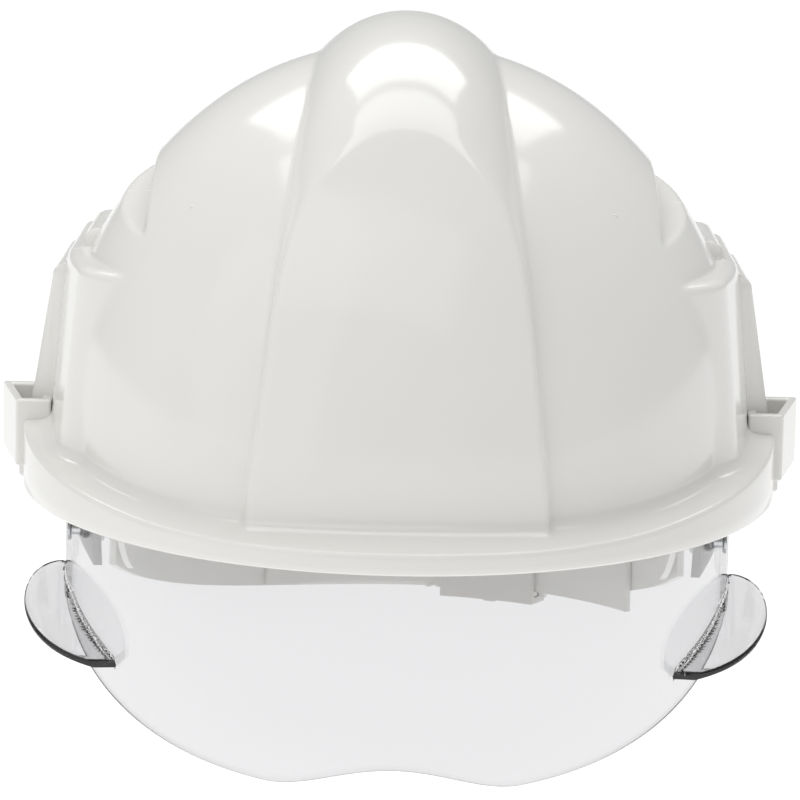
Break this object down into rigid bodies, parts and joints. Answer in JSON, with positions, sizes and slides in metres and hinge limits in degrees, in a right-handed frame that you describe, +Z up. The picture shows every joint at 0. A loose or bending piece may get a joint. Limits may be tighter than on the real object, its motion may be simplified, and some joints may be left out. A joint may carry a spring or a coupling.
{
  "type": "hard hat",
  "caption": "White hard hat with a raised central crest, a clear swing-up visor, side accessory slots and a webbing harness with an adjustable nape strap.",
  "frame": {"origin": "centre of the shell's rim plane, on the line through both visor pivots seen from above; the point that the wearer's head holds", "axes": "+Z up, -Y out through the visor, +X to the right for someone who faces the front of the hat; right in a node's name is +X"},
  "size_m": [0.2362, 0.274, 0.2101],
  "materials": {
    "shell": "glossy white moulded ABS",
    "visor": "clear polished polycarbonate",
    "band": "satin white moulded polyethylene",
    "buckle": "satin off-white moulded nylon",
    "clip": "satin white moulded nylon",
    "bracket": "satin grey moulded nylon",
    "foam": "soft dark sweatband cloth over foam",
    "webbing": "woven off-white webbing",
    "steel": "plated steel"
  },
  "bodies": {
    "shell": {"shell": "shell", "headband": "band", "nape_band": "band", "nape_guide": "band", "nape_buckle": "buckle", "headband_rivet_right": "buckle", "headband_rivet_left": "buckle", "harness_clip_front_left": "clip", "harness_clip_front_right": "clip", "harness_clip_rear_left": "clip", "harness_clip_rear_right": "clip", "harness_clip_side_left": "clip", "harness_clip_side_right": "clip", "visor_bracket_right": "bracket", "visor_bracket_left": "bracket", "sweatband": "foam", "crown_strap_side": "webbing", "crown_strap_left": "webbing", "crown_strap_right": "webbing", "crown_patch": "webbing", "pivot_screw_right": "steel", "pivot_screw_left": "steel", "friction_washer_right": "steel", "friction_washer_left": "steel", "tab_pin": "steel"},
    "visor": {"visor_lens": "visor", "visor_arm_right": "band", "visor_arm_left": "band", "visor_rivet_rear_right": "steel", "visor_rivet_rear_left": "steel", "visor_rivet_front_right": "steel", "visor_rivet_front_left": "steel"},
    "nape_strap": {"nape_strap": "band"},
    "release_tab": {"release_tab": "buckle"}
  },
  "joints": [
    {"name": "visor_pivot", "type": "hinge", "parent": "shell", "child": "visor", "pos_m": [0, 0, 0.01], "axis": [-1, 0, 0], "range_deg": [0, 33]},
    {"name": "size_adjust", "type": "hinge", "parent": "shell", "child": "nape_strap", "pos_m": [0, 0.008, -0.042], "axis": [0, 0, 1], "range_deg": [-12, 8]},
    {"name": "ratchet_release", "type": "hinge", "parent": "shell", "child": "release_tab", "pos_m": [0.02301, 0.10338, -0.036], "axis": [0, 0, 1], "range_deg": [0, 20], "stiffness_Nm_per_rad": 0.02, "springref_deg": -8.59}
  ]
}
